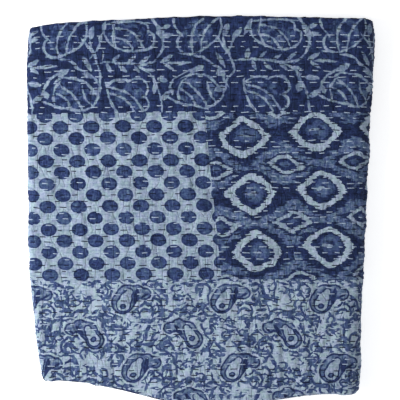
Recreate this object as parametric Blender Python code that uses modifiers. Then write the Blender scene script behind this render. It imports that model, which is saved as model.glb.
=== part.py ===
"""A hand-stitched kantha quilt, folded into a flat packet of sixteen plies.

The quilt is one piece of cloth, about 2.3 m by 2.6 m. Its head and foot are turned in to the middle and it is
closed like a book, which makes a strip four plies thick. The strip's two ends are turned in to its middle and it
is closed like a book again. So every edge that shows is a fold and the hems lie inside.

The packet lies on its underside. +X is its right side, +Y its top edge and +Z is up.
"""

import math
from collections import namedtuple

import bmesh
import bpy
from mathutils import Matrix, Vector

# The cloth, in metres: two cottons with a thin cotton layer between them, held by rows of running stitch.
PLY_THICKNESS = 0.0025
PLY_GAP = 0.0006
PLY_PITCH = PLY_THICKNESS + PLY_GAP
STRIP_PLIES = 4
STRIP_PITCH = STRIP_PLIES * PLY_PITCH
STITCH_ROW_PITCH = 0.0098
STITCH_ROW_DEPTH = 0.0007

# The folded packet seen from above, before it settles.
PACKET_WIDTH = 0.598
PACKET_HEIGHT = 0.62
PACKET_SPINE_DEPTH = 0.028
STRIP_SPINE_DEPTH = 0.0065
LOWER_CREASE_INSET = 0.0035

# How the packet lies, read off the photograph's outline.
RIGHT_SIDE_LEAN = 0.027
LEFT_SIDE_LEAN = 0.006
LEFT_FOOT_LEAN = 0.022
LEFT_FOOT_LEAN_STARTS = 0.42
HEAD_BOW = 0.013
FOOT_BOW = 0.031
FOOT_BOW_REACH = 0.88
FOOT_SLOPE = 0.0134
UNDERSIDE_DRAWN_IN = 0.004
STRIP_DRIFT = 0.0025

# Soft swells of the top, each fading to nothing at the underside: height, then waves across and up the packet.
SWELLS = (
    {"name": "crown", "height": 0.0022, "waves_across": 0.5, "waves_up": 0.5, "phase": 0.0},
    {"name": "long roll", "height": 0.0014, "waves_across": 1.3, "waves_up": 0.4, "phase": 0.9},
    {"name": "cross roll", "height": 0.0012, "waves_across": 0.6, "waves_up": 1.6, "phase": 2.1},
)

# The two rounder corners: which corner, and how far its tip is drawn in towards the middle.
CORNERS = (
    {"name": "top left", "across": -1, "up": 1, "drawn_in": 0.003, "reach": 0.034},
    {"name": "bottom right", "across": 1, "up": -1, "drawn_in": 0.003, "reach": 0.028},
)

# How finely the cloth is divided, in steps.
RUN_STEPS = 6
CREASE_STEPS = 4
STRIP_CREASE_STEPS = 5
STRIP_SPINE_STEPS = 5
PACKET_SPINE_STEPS = 8

# Points this near to the highest one belong to the same level.
SAME_LEVEL = 1e-5
SHARP_FROM = math.radians(40)
COTTON_COLOUR = (0.115, 0.165, 0.29, 1.0)

HALF_THICKNESS = 1.5 * STRIP_PITCH + 1.5 * PLY_PITCH + PLY_THICKNESS / 2
PACKET_THICKNESS = 2 * HALF_THICKNESS
CREASE_RADIUS = STRIP_PITCH / 2 + HALF_THICKNESS - 1.5 * STRIP_PITCH
SPINE_REACH = PACKET_SPINE_DEPTH + HALF_THICKNESS - 1.5 * STRIP_PITCH
PLY_CREASE_RADIUS = (PLY_PITCH + PLY_THICKNESS) / 2
PLY_SPINE_REACH = STRIP_SPINE_DEPTH + PLY_THICKNESS / 2

# One place on a folded line: how far along it lies, at what level, and which way the front of the cloth faces.
Station = namedtuple("Station", "along level facing_along facing_up")


def clear_scene():
    for old in list(bpy.data.objects):
        bpy.data.objects.remove(old)


def run_of(start, end, level, facing, steps):
    """A level stretch, its stations closer together near both ends."""
    places = []
    for k in range(steps + 1):
        share = (1 - math.cos(math.pi * k / steps)) / 2
        places.append(Station(start + (end - start) * share, level, 0.0, facing))
    return places


def crease_of(centre, middle_level, radius, steps):
    """A tight turn at a crease, from its lower side round to its upper side."""
    places = []
    for k in range(1, steps):
        angle = math.radians(270 - 180 * k / steps)
        facing_along, facing_up = math.cos(angle), math.sin(angle)
        places.append(
            Station(
                centre + radius * facing_along,
                middle_level + radius * facing_up,
                facing_along,
                facing_up,
            )
        )
    return places


def spine_of(centre, half_height, depth, steps):
    """The wide turn at the spine, from the upper side round to the lower side, as half an ellipse."""
    places = []
    for k in range(1, steps):
        angle = math.radians(90 - 180 * k / steps)
        facing = (math.cos(angle) / depth, math.sin(angle) / half_height)
        size = math.hypot(*facing)
        places.append(
            Station(
                centre + depth * math.cos(angle),
                half_height * math.sin(angle),
                facing[0] / size,
                facing[1] / size,
            )
        )
    return places


def gate_fold(crease, lower_crease, spine, spine_depth, pitch, crease_steps, spine_steps):
    """The line of cloth whose ends are turned in to the middle and which is then closed like a book.

    The four quarters lie at levels 0.5, 1.5, -1.5 and -0.5 times the pitch, in the order of the cloth.
    """
    return (
        run_of(spine, crease, 0.5 * pitch, -1.0, RUN_STEPS)
        + crease_of(crease, pitch, pitch / 2, crease_steps)
        + run_of(crease, spine, 1.5 * pitch, 1.0, RUN_STEPS)
        + spine_of(spine, 1.5 * pitch, spine_depth, spine_steps)
        + run_of(spine, lower_crease, -1.5 * pitch, -1.0, RUN_STEPS)
        + crease_of(lower_crease, -pitch, pitch / 2, crease_steps)
        + run_of(lower_crease, spine, -0.5 * pitch, 1.0, RUN_STEPS)
    )


def folded_across():
    """The strip's own path from left to right and back: its spine is the packet's right side."""
    left = -PACKET_WIDTH / 2 + CREASE_RADIUS
    right = PACKET_WIDTH / 2 - SPINE_REACH
    return gate_fold(
        left,
        left + LOWER_CREASE_INSET,
        right,
        PACKET_SPINE_DEPTH,
        STRIP_PITCH,
        STRIP_CREASE_STEPS,
        PACKET_SPINE_STEPS,
    )


def folded_lengthwise():
    """The quilt's path from the top edge down and back inside the strip: its spine is the packet's bottom edge."""
    top = -PACKET_HEIGHT / 2 + PLY_CREASE_RADIUS
    bottom = PACKET_HEIGHT / 2 - PLY_SPINE_REACH
    return gate_fold(
        top,
        top,
        bottom,
        STRIP_SPINE_DEPTH,
        PLY_PITCH,
        CREASE_STEPS,
        STRIP_SPINE_STEPS,
    )


def flat_cloth(steps_across, steps_lengthwise):
    """The quilt spread flat, as a plain grid with one square for each step of its folds."""
    cloth = bmesh.new()
    bmesh.ops.create_grid(cloth, x_segments=steps_across, y_segments=steps_lengthwise, size=1.0)
    return cloth


def fold(cloth, across, lengthwise):
    """Moves each point of the flat grid to its place in the packet."""
    for point in cloth.verts:
        step_across = round((point.co.x + 1) / 2 * (len(across) - 1))
        step_lengthwise = round((point.co.y + 1) / 2 * (len(lengthwise) - 1))
        strip = across[step_across]
        ply = lengthwise[step_lengthwise]
        turn = step_across / (len(across) - 1)
        drift = STRIP_DRIFT * (1 - math.cos(4 * math.pi * (turn - 0.37)))
        point.co.x = strip.along + ply.level * strip.facing_along
        point.co.y = -ply.along - drift
        point.co.z = HALF_THICKNESS + strip.level + ply.level * strip.facing_up


def give_thickness(cloth, name):
    """The folded sheet as an object of full ply thickness, returned as a mesh that can be edited again."""
    sheet = bpy.data.meshes.new(name)
    cloth.to_mesh(sheet)
    cloth.free()
    quilt = bpy.data.objects.new(name, sheet)
    bpy.context.scene.collection.objects.link(quilt)
    thickness = quilt.modifiers.new("ply thickness", "SOLIDIFY")
    thickness.thickness = PLY_THICKNESS
    thickness.offset = 0.0
    thickness.use_even_offset = True
    bpy.context.view_layer.update()
    thick = bpy.data.meshes.new_from_object(quilt.evaluated_get(bpy.context.evaluated_depsgraph_get()))
    quilt.modifiers.clear()
    quilt.data = thick
    bpy.data.meshes.remove(sheet)
    return quilt


def eased(share):
    share = min(max(share, 0.0), 1.0)
    return share * share * (3 - 2 * share)


def lean(across, up):
    """How far a point at these shares (each -1 to 1) moves in X, because the packet narrows to its foot."""
    right_move = -RIGHT_SIDE_LEAN * (1 - up) / 2
    foot_share = max(0.0, LEFT_FOOT_LEAN_STARTS - (up + 1) / 2) / LEFT_FOOT_LEAN_STARTS
    left_move = LEFT_SIDE_LEAN * (1 - up) / 2 + LEFT_FOOT_LEAN * foot_share**2
    return left_move * (1 - across) / 2 + right_move * (1 + across) / 2


def bow(across, up):
    """How far a point moves in Y, because the top and bottom edges bow outwards."""
    head_move = HEAD_BOW * (1 - (across - 0.2) ** 2)
    belly = min(abs(across - 0.03) / FOOT_BOW_REACH, 1.0)
    foot_move = -FOOT_BOW * (1 + math.cos(math.pi * belly)) / 2 - FOOT_SLOPE * across
    return head_move * (1 + up) / 2 + foot_move * (1 - up) / 2


def swell(across, up):
    """How far the top stands above or below its level place."""
    rise = 0.0
    for wave in SWELLS:
        turn = math.pi * (wave["waves_across"] * across + wave["waves_up"] * up) + wave["phase"]
        rise += wave["height"] * math.cos(turn)
    return rise


def settle(place):
    """Moves a point of the squarely folded packet to where it lies in the photograph."""
    across = place.x / (PACKET_WIDTH / 2)
    up = place.y / (PACKET_HEIGHT / 2)
    above_floor = place.z / PACKET_THICKNESS
    x = place.x + lean(across, up)
    y = place.y + bow(across, up)
    for corner in CORNERS:
        far_across = (1 - across * corner["across"]) * PACKET_WIDTH / 2
        far_up = (1 - up * corner["up"]) * PACKET_HEIGHT / 2
        nearness = math.exp(-(far_across**2 + far_up**2) / corner["reach"] ** 2)
        x -= corner["across"] * corner["drawn_in"] * nearness
        y -= corner["up"] * corner["drawn_in"] * nearness
    drawn_in = UNDERSIDE_DRAWN_IN * (1 - eased(above_floor))
    x -= across * drawn_in
    y -= up * drawn_in
    z = place.z + above_floor * swell(across, up)
    return x, y, z


def mark_rows(cloth, rows):
    """Counts half rows of stitch up the level stretch of the top ply, on the points of that ply alone."""
    height = max(point.co.z for point in cloth.verts)
    top_points = [point for point in cloth.verts if point.co.z > height - SAME_LEVEL]
    levels = sorted({round(point.co.y, 4) for point in top_points})
    half_rows = {levels[0]: 2}
    for lower, upper in zip(levels, levels[1:]):
        half_rows[upper] = half_rows[lower] + 2 * max(1, round((upper - lower) / STITCH_ROW_PITCH))
    for point in top_points:
        point[rows] = half_rows[round(point.co.y, 4)]


def sew_rows(cloth, rows):
    """Divides the top ply at its rows of running stitch and pulls every row down into the cloth."""
    rungs = {}
    for edge in cloth.edges:
        first, last = edge.verts[0][rows], edge.verts[1][rows]
        half_rows = round(abs(last - first))
        if min(first, last) > 0 and half_rows > 1:
            rungs.setdefault(half_rows, []).append(edge)
    for half_rows, edges in sorted(rungs.items()):
        bmesh.ops.bisect_edges(cloth, edges=edges, cuts=half_rows - 1)
    lines = {}
    for point in cloth.verts:
        if point[rows] > 0:
            lines.setdefault(round(point[rows]), []).append(point)
    for line in range(min(lines) + 1, max(lines)):
        bmesh.ops.connect_verts(cloth, verts=lines[line])
        if line % 2:
            for point in lines[line]:
                point.co.z -= STITCH_ROW_DEPTH


def centre_on_floor(mesh):
    """Puts the middle of the packet's outline over the origin."""
    xs = [point.co.x for point in mesh.vertices]
    ys = [point.co.y for point in mesh.vertices]
    middle = Vector(((min(xs) + max(xs)) / 2, (min(ys) + max(ys)) / 2, 0))
    mesh.transform(Matrix.Translation(-middle))


def quilted_cotton():
    """Indigo printed cotton: a mid blue, matt, standing for the whole of the print."""
    cotton = bpy.data.materials.new("indigo printed cotton")
    cotton.use_nodes = True
    shader = cotton.node_tree.nodes["Principled BSDF"]
    shader.inputs["Base Color"].default_value = COTTON_COLOUR
    shader.inputs["Roughness"].default_value = 0.92
    shader.inputs["Metallic"].default_value = 0.0
    return cotton


def make_quilt():
    across = folded_across()
    lengthwise = folded_lengthwise()
    cloth = flat_cloth(len(across) - 1, len(lengthwise) - 1)
    fold(cloth, across, lengthwise)
    quilt = give_thickness(cloth, "quilt")
    shaped = bmesh.new()
    shaped.from_mesh(quilt.data)
    rows = shaped.verts.layers.float.new("half rows")
    mark_rows(shaped, rows)
    for point in shaped.verts:
        point.co = settle(point.co)
    sew_rows(shaped, rows)
    shaped.to_mesh(quilt.data)
    shaped.free()
    centre_on_floor(quilt.data)
    quilt.data.shade_smooth()
    quilt.data.set_sharp_from_angle(angle=SHARP_FROM)
    quilt.data.materials.append(quilted_cotton())
    return quilt


def main():
    clear_scene()
    part = bpy.data.collections.new("kantha quilt")
    bpy.context.scene.collection.children.link(part)
    quilt = make_quilt()
    bpy.context.scene.collection.objects.unlink(quilt)
    part.objects.link(quilt)


main()
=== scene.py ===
# %% [markdown]
# # A folded kantha quilt in indigo prints
#
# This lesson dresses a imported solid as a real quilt. Kantha is hand quilting: two cottons with a thin
# cotton layer between them, held by long rows of running stitch. This one is patchwork in four block
# prints, all dyed with indigo, and it lies folded in four each way, so that only its folds show at the
# edges.
#
# The quilt could be modelled as a flat box with a picture on top, but its edges would give it away. It
# could also be simulated, but sixteen plies of cloth on each other are slow to settle and hard to steer.
# Here it is made the way it is made in life: sewn flat first, stitches and all, and then folded by one
# rule.

import math
from types import SimpleNamespace

import bpy
import numpy as np
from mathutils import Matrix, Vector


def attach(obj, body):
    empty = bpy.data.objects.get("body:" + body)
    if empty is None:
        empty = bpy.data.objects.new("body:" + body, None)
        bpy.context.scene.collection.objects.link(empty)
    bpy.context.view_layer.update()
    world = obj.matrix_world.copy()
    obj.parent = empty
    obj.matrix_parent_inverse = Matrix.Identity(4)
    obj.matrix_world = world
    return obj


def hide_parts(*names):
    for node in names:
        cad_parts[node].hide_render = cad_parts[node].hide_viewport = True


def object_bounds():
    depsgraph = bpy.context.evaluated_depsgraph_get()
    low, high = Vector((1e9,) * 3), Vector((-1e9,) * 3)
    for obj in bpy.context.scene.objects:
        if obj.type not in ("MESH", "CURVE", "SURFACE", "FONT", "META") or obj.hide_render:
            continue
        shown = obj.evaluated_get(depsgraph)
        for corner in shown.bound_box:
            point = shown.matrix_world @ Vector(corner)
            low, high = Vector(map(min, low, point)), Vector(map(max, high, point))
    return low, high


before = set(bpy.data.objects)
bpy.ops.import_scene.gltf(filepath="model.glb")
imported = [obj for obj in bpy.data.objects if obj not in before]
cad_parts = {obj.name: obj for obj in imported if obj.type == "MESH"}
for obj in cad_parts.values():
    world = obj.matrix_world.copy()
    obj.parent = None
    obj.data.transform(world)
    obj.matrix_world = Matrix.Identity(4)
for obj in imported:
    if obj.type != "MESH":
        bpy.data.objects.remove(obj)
CAD_LOW, CAD_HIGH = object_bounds()
bpy.ops.object.select_all(action="DESELECT")
print("packet, in mm:", [round(1000 * side) for side in CAD_HIGH - CAD_LOW])

# %% [markdown]
# ## Colours and nodes
#
# Colours are picked as sRGB hex values, as on a screen, and Blender's sockets want linear light, so one
# function turns the first into the second. The block prints need many nodes, so another small function adds
# a node, sets it up and links it, and every tree below is written with it. A third one starts a material
# with the values that are the same all over it, such as its roughness.

# %% Helpers for colours, nodes and materials
def linear(hex_colour):
    """An sRGB hex colour as the linear red, green, blue and alpha that a socket holds."""
    channels = [int(hex_colour[place : place + 2], 16) / 255 for place in (1, 3, 5)]
    return (*(c / 12.92 if c <= 0.04045 else ((c + 0.055) / 1.055) ** 2.4 for c in channels), 1.0)


def result(node):
    """The socket that holds what a node works out."""
    return next(output for output in node.outputs if output.enabled)


def add(tree, kind, *sources, **settings):
    """Adds a node with its settings, and fills its sockets in order from values, nodes or sockets."""
    node = tree.nodes.new("ShaderNode" + kind)
    for name, value in settings.items():
        setattr(node, name, value)
    sockets = [socket for socket in node.inputs if socket.enabled]
    for socket, source in zip(sockets, sources):
        if isinstance(source, bpy.types.Node):
            source = result(source)
        if isinstance(source, bpy.types.NodeSocket):
            tree.links.new(source, socket)
        elif source is not None:
            socket.default_value = source
    return node


def new_material(name, finish):
    """A new material, its node tree and its shader, with the finish set on the shader's own sockets."""
    material = bpy.data.materials.new(name)
    material.use_nodes = True
    shader = material.node_tree.nodes["Principled BSDF"]
    for socket, value in finish.items():
        shader.inputs[socket].default_value = value
    return material, material.node_tree, shader


print("navy as linear light:", [round(c, 3) for c in linear("#25315b")])

# %% [markdown]
# ## The camera, the light and the floor
#
# The photograph looks straight down on the quilt, with its bottom edge just out of the frame. One pixel of
# it is about 1.7 mm on the cloth. A long lens from 4 m above gives the same flat view. The light is soft
# and comes from the left, so that the right side of the packet is a little darker. The floor is plain and
# pale.

# %% Camera above the middle of the photograph's frame
MM_PER_PIXEL = 1.7
PHOTO_SIDE = 400
CAMERA_DISTANCE = 4.0
CLOTH_TOP = CAD_HIGH.z
VIEW_MIDDLE_Y = 0.0205

camera = bpy.data.objects.new("camera", bpy.data.cameras.new("camera"))
bpy.context.scene.collection.objects.link(camera)
camera.location = (-0.0012, VIEW_MIDDLE_Y, CLOTH_TOP + CAMERA_DISTANCE)
camera.data.sensor_width = 36.0
camera.data.lens = 36.0 * CAMERA_DISTANCE / (PHOTO_SIDE * MM_PER_PIXEL / 1000)
bpy.context.scene.camera = camera
print("lens, in mm:", round(camera.data.lens, 1))

# %% Soft light from the left, a weak fill and a pale surround
LIGHTS = (
    {"name": "window light", "place": (-1.55, -0.15, 1.25), "size": 0.9, "watts": 48},
    {"name": "fill light", "place": (0.6, -0.9, 2.2), "size": 2.0, "watts": 5},
)
for plan in LIGHTS:
    lamp = bpy.data.objects.new(plan["name"], bpy.data.lights.new(plan["name"], "AREA"))
    bpy.context.scene.collection.objects.link(lamp)
    lamp.location = plan["place"]
    lamp.rotation_euler = (-lamp.location).to_track_quat("-Z", "Y").to_euler()
    lamp.data.size = plan["size"]
    lamp.data.energy = plan["watts"]

surround = bpy.data.worlds.new("pale surround")
surround.use_nodes = True
surround.node_tree.nodes["Background"].inputs["Color"].default_value = linear("#f4f6fa")
surround.node_tree.nodes["Background"].inputs["Strength"].default_value = 0.46
bpy.context.scene.world = surround
bpy.context.scene.view_settings.view_transform = "Standard"
print("lights:", [plan["name"] for plan in LIGHTS])

# %% The floor
bpy.ops.mesh.primitive_plane_add(size=12, location=(0, 0, -0.0006))
floor = bpy.context.object
floor.name = "floor"
# Matt white paper that glows a little, so that it stays pale under the weak light.
PAPER = {
    "Base Color": linear("#f3f3f2"),
    "Roughness": 0.9,
    "Emission Color": linear("#ffffff"),
    "Emission Strength": 0.6,
}
paper, _, _ = new_material("matt white paper", PAPER)
floor.data.materials.append(paper)
print("floor:", floor.name)

# %% [markdown]
# ## How the quilt is folded
#
# Folding works one way at a time. Lengthwise, the quilt's head and foot are turned in to its middle, and it
# is closed like a book: that makes a strip four plies thick. Crosswise, the strip's ends are turned in to
# its middle and it is closed like a book again. Both times the cloth follows the same kind of line, seen
# from its edge: level runs joined by tight creases and one wide spine.
#
# Such a line is kept as a table: how far along the cloth a point is, and where that point has gone. The
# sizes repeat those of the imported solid, so that this quilt takes its place exactly.

# %% Sizes of the cloth and of the packet, in metres
PLY_THICKNESS = 0.0025
PLY_PITCH = 0.0031
STRIP_PITCH = 4 * PLY_PITCH
PACKET_WIDTH = 0.598
PACKET_HEIGHT = 0.62
PACKET_SPINE_DEPTH = 0.028
STRIP_SPINE_DEPTH = 0.0065
LOWER_CREASE_INSET = 0.0035
OUTER_PLY = 1.5 * PLY_PITCH + PLY_THICKNESS / 2
HALF_THICKNESS = 1.5 * STRIP_PITCH + OUTER_PLY
print("packet thickness, in mm:", round(2000 * HALF_THICKNESS, 1))


# %% A folded line as a table
def level_run(start, end, level, facing, turned):
    """A straight stretch: rows of place along, level, the way its front faces, and how far it has turned."""
    return [(start, level, 0.0, facing, turned), (end, level, 0.0, facing, turned)]


def half_turn(middle, level, reach, rise, first_angle, turned):
    """Half an ellipse that the cloth follows clockwise, from one angle to the one opposite."""
    rows = []
    for step in range(1, 48):
        angle = first_angle - math.pi * step / 48
        face = np.array([math.cos(angle) / reach, math.sin(angle) / rise])
        face /= np.linalg.norm(face)
        place = (middle + reach * math.cos(angle), level + rise * math.sin(angle))
        rows.append((*place, *face, turned + math.pi * step / 48))
    return rows


def gate_fold(crease, lower_crease, spine, spine_depth, pitch):
    """The line of a cloth whose ends are turned in to its middle and which is then closed like a book."""
    up, down = math.pi / 2, 3 * math.pi / 2
    return (
        level_run(spine, crease, 0.5 * pitch, -1, -math.pi)
        + half_turn(crease, pitch, pitch / 2, pitch / 2, down, -math.pi)
        + level_run(crease, spine, 1.5 * pitch, 1, 0)
        + half_turn(spine, 0, spine_depth, 1.5 * pitch, up, 0)
        + level_run(spine, lower_crease, -1.5 * pitch, -1, math.pi)
        + half_turn(lower_crease, -pitch, pitch / 2, pitch / 2, down, math.pi)
        + level_run(lower_crease, spine, -0.5 * pitch, 1, 2 * math.pi)
    )


def as_line(rows):
    """The rows as columns, with the cloth's own length counted from the place that lies at 0 on the upper run."""
    along, level, face_along, face_up, turned = np.array(rows).T
    length = np.concatenate([[0], np.cumsum(np.hypot(np.diff(along), np.diff(level)))])
    upper = [k for k in range(len(rows)) if turned[k] == 0]
    length -= length[upper[0]] - along[upper[0]]
    return SimpleNamespace(
        length=length, along=along, level=level, face_along=face_along, face_up=face_up, turned=turned
    )


crease_x = -PACKET_WIDTH / 2 + STRIP_PITCH / 2 + HALF_THICKNESS - 1.5 * STRIP_PITCH
spine_x = PACKET_WIDTH / 2 - PACKET_SPINE_DEPTH - HALF_THICKNESS + 1.5 * STRIP_PITCH
crease_y = -PACKET_HEIGHT / 2 + (PLY_PITCH + PLY_THICKNESS) / 2
spine_y = PACKET_HEIGHT / 2 - STRIP_SPINE_DEPTH - PLY_THICKNESS / 2
ACROSS = as_line(gate_fold(crease_x, crease_x + LOWER_CREASE_INSET, spine_x, PACKET_SPINE_DEPTH, STRIP_PITCH))
LENGTHWISE = as_line(gate_fold(crease_y, crease_y, spine_y, STRIP_SPINE_DEPTH, PLY_PITCH))

# %% [markdown]
# ## How the packet settles
#
# A hand-folded packet is never square. This one narrows to its foot, its top and bottom edges bow out, two
# of its corners are rounder, and its top swells a little. Each of these is a small, smooth move of the
# space that the plies lie in, the same for all of them, so that no ply passes through its neighbour.
#
# The printed rows stay straight while the bottom fold bows, because the cloth was folded a little off its
# own lines. So the bow fades out away from the folds, and a seam near the middle leans a little.

# %% The moves, from the packet's outline in the photograph
RIGHT_SIDE_LEAN, LEFT_SIDE_LEAN = 0.027, 0.006
LEFT_FOOT_LEAN, LEFT_FOOT_LEAN_STARTS = 0.022, 0.42
HEAD_BOW, HEAD_CORNERS = 0.012, 0.0072
FOOT_BOW, FOOT_BOW_REACH, FOOT_SLOPE = 0.031, 0.88, 0.0134
UNDERSIDE_DRAWN_IN, STRIP_DRIFT = 0.004, 0.0025
SEAM_LEAN, SEAM_ACROSS = 0.038, 0.1
CORNERS = (
    {"name": "top left", "across": -1, "up": 1, "drawn_in": 0.006, "reach": 0.022},
    {"name": "top right", "across": 1, "up": 1, "drawn_in": 0.003, "reach": 0.014},
    {"name": "bottom right", "across": 1, "up": -1, "drawn_in": 0.003, "reach": 0.028},
)
SWELLS = (
    {"name": "crown", "height": 0.0022, "waves_across": 0.5, "waves_up": 0.5, "phase": 0.0},
    {"name": "long roll", "height": 0.0014, "waves_across": 1.3, "waves_up": 0.4, "phase": 0.9},
    {"name": "cross roll", "height": 0.0012, "waves_across": 0.6, "waves_up": 1.6, "phase": 2.1},
)


def eased(share):
    share = np.clip(share, 0, 1)
    return share * share * (3 - 2 * share)


def sideways(across, up):
    """How far the packet's narrowing and the leaning seam move a place in X."""
    right = -RIGHT_SIDE_LEAN * (1 - up) / 2
    foot = np.maximum(0, LEFT_FOOT_LEAN_STARTS - (up + 1) / 2) / LEFT_FOOT_LEAN_STARTS
    left = LEFT_SIDE_LEAN * (1 - up) / 2 + LEFT_FOOT_LEAN * foot**2
    near_seam = np.clip(1 - np.abs(across - SEAM_ACROSS) / (1 - SEAM_ACROSS), 0, 1)
    seam = -SEAM_LEAN * up * (1 - up**4) * near_seam
    return left * (1 - across) / 2 + right * (1 + across) / 2 + seam


def bowed(across, up):
    """How far the bowed top and bottom edges move a place in Y."""
    head = HEAD_BOW * (1 - (across - 0.2) ** 2) + HEAD_CORNERS * across**6
    belly = np.minimum(np.abs(across - 0.03) / FOOT_BOW_REACH, 1)
    foot = -FOOT_BOW * (1 + np.cos(math.pi * belly)) / 2 - FOOT_SLOPE * across
    return head * eased((up - 0.4) / 0.6) + foot * eased((-up - 0.4) / 0.6)


def swell(across, up):
    turns = [math.pi * (w["waves_across"] * across + w["waves_up"] * up) + w["phase"] for w in SWELLS]
    return sum(w["height"] * np.cos(turn) for w, turn in zip(SWELLS, turns))


print("foot's bow, in mm:", round(-1000 * float(bowed(np.float64(0.03), -1.0)), 1))


# %% One rule that folds anything laid on the flat cloth
def looked_up(line, length):
    """Place along, level, facing and turn of a folded line, at these lengths of cloth."""
    kept = (line.along, line.level, line.face_along, line.face_up, line.turned)
    return [np.interp(length, line.length, column) for column in kept]


def settled(flat):
    """Takes points of the flat quilt (x, y, height above the ply's middle) to their places in the packet.

    It also gives each point's place on the print: where it would lie if the cloth were smoothed flat from the
    middle of the packet outwards.
    """
    x, y, height = flat.T
    strip_along, strip_level, strip_face_x, strip_face_z, strip_turned = looked_up(ACROSS, x)
    ply_along, ply_level, ply_face_y, ply_face_z, ply_turned = looked_up(LENGTHWISE, -y)
    ply_along = ply_along + height * ply_face_y
    ply_level = ply_level + height * ply_face_z
    share = (x - ACROSS.length[0]) / np.ptp(ACROSS.length)
    px = strip_along + ply_level * strip_face_x
    py = -ply_along - STRIP_DRIFT * (1 - np.cos(4 * math.pi * (share - 0.4)))
    pz = HALF_THICKNESS + strip_level + ply_level * strip_face_z
    across, up = px / (PACKET_WIDTH / 2), py / (PACKET_HEIGHT / 2)
    move_x, move_y = sideways(across, up), bowed(across, up)
    above_floor = pz / (2 * HALF_THICKNESS)
    drawn_in = UNDERSIDE_DRAWN_IN * (1 - eased(above_floor))
    place = np.stack([px + move_x, py + move_y, pz + above_floor * swell(across, up)])
    place[:2] -= drawn_in * np.stack([across, up])
    for corner in CORNERS:
        far_x = (1 - across * corner["across"]) * PACKET_WIDTH / 2
        far_y = (1 - up * corner["up"]) * PACKET_HEIGHT / 2
        near = np.exp(-(far_x**2 + far_y**2) / corner["reach"] ** 2)
        place[0] -= corner["across"] * corner["drawn_in"] * near
        place[1] -= corner["up"] * corner["drawn_in"] * near
    side = np.where(strip_turned > 0, 1.0, -1.0)
    round_side = np.abs(strip_turned) > math.pi / 2
    round_foot = ply_turned > math.pi / 2
    print_x = x + OUTER_PLY * strip_turned + np.where(round_side, 2 * sideways(side, up) - move_x, move_x)
    print_y = y + np.where(round_foot, 2 * bowed(across, -1.0) - move_y, move_y)
    return place.T, np.stack([print_x, print_y], 1)


across_cloth = np.linspace(ACROSS.length[0], ACROSS.length[-1], 700)
down_cloth = -np.linspace(LENGTHWISE.length[0], LENGTHWISE.length[-1], 700)
probes = np.meshgrid(across_cloth, down_cloth, [-PLY_THICKNESS / 2, PLY_THICKNESS / 2])
probes, _ = settled(np.stack([axis.ravel() for axis in probes], 1))
TO_MIDDLE = (np.array(CAD_LOW) + np.array(CAD_HIGH)) / 2 - (probes.min(0) + probes.max(0)) / 2
TO_MIDDLE[2] = 0
print("the packet is centred by, in mm:", np.round(1000 * TO_MIDDLE, 1))


# %% The same rule in the packet's own frame
def fold(flat):
    """Folds points of the flat quilt, whose x and y are those of the packet's top face, about its middle."""
    place, printed = settled(flat - TO_MIDDLE)
    return place + TO_MIDDLE, printed + TO_MIDDLE[:2]


def flat_under(printed):
    """The place on the flat quilt that lies under a place on the print, found by trying and correcting."""
    flat = np.column_stack([printed, np.full(len(printed), PLY_THICKNESS / 2)])
    for _ in range(8):
        flat[:, :2] += printed - fold(flat)[1]
    return flat


middle_of_top = fold(np.array([[0.0, 0.0, PLY_THICKNESS / 2]]))[0][0]
print("middle of the top face, in mm:", np.round(1000 * middle_of_top, 1))

# %% [markdown]
# ## The sewn surface
#
# A row of running stitch pulls the three layers together, so every row is a shallow valley and the cloth
# between two rows puffs up. The valley is deepest under each stitch. Rows that are pulled a little
# differently gather the cloth, which gives the small upright puckers that kantha is known for. Washing and
# folding add a few long, faint creases.
#
# All this is real height on the cloth, worked out from the stitch spacing, so that it shows from every
# side.

# %% Stitch spacing and the cloth's relief
ROW_PITCH = 0.01
FIRST_WHITE_ROW = 0.0415
STITCH_LENGTH = 0.0115
STITCH_STEP = 0.0218
ROW_DEPTH = 0.0007
STITCH_DEPTH = 0.0006
VALLEY_HALF_WIDTH = 0.0023
PUCKER_HEIGHT, PUCKER_CELL = 0.0012, (0.0085, 0.008)
ROW_WANDER, WANDER_CELL = 0.0012, (0.09, 0.03)
CREASE_HALF_WIDTH = 0.0032
GATHERS = (
    {"name": "upright puckers", "height": 0.0017, "cell": (0.009, 0.03), "shift": (3, 0)},
    {"name": "slow waves", "height": 0.0018, "cell": (0.034, 0.03), "shift": (7, 2)},
)
LONG_CREASES = (
    {"name": "left of the middle", "from": (-0.205, 0.155), "to": (-0.196, -0.03), "depth": 0.0016},
    {"name": "left, short", "from": (-0.240, 0.12), "to": (-0.236, 0.02), "depth": 0.0013},
    {"name": "second fold mark", "from": (-0.141, 0.15), "to": (-0.148, -0.11), "depth": 0.0013},
    {"name": "middle of the dots", "from": (-0.075, 0.11), "to": (-0.068, -0.06), "depth": 0.0011},
    {"name": "foot of the dots", "from": (-0.045, -0.02), "to": (-0.052, -0.13), "depth": 0.0012},
    {"name": "top of the ikat", "from": (0.12, 0.16), "to": (0.105, -0.02), "depth": 0.0010},
    {"name": "beside the ikat's edge", "from": (0.225, 0.1), "to": (0.215, -0.09), "depth": 0.0011},
    {"name": "foot, left", "from": (-0.17, -0.14), "to": (-0.155, -0.27), "depth": 0.0012},
    {"name": "foot", "from": (-0.06, -0.12), "to": (-0.035, -0.3), "depth": 0.0013},
    {"name": "foot, right", "from": (0.13, -0.15), "to": (0.145, -0.29), "depth": 0.0012},
    {"name": "head", "from": (0.045, 0.31), "to": (0.06, 0.19), "depth": 0.0011},
    {"name": "head, left", "from": (-0.19, 0.28), "to": (-0.185, 0.18), "depth": 0.0011},
)
chance = np.random.default_rng(11)
LATTICE = chance.uniform(-1, 1, (211, 223))
ROW_STARTS = chance.uniform(0, STITCH_STEP, 997)


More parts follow.
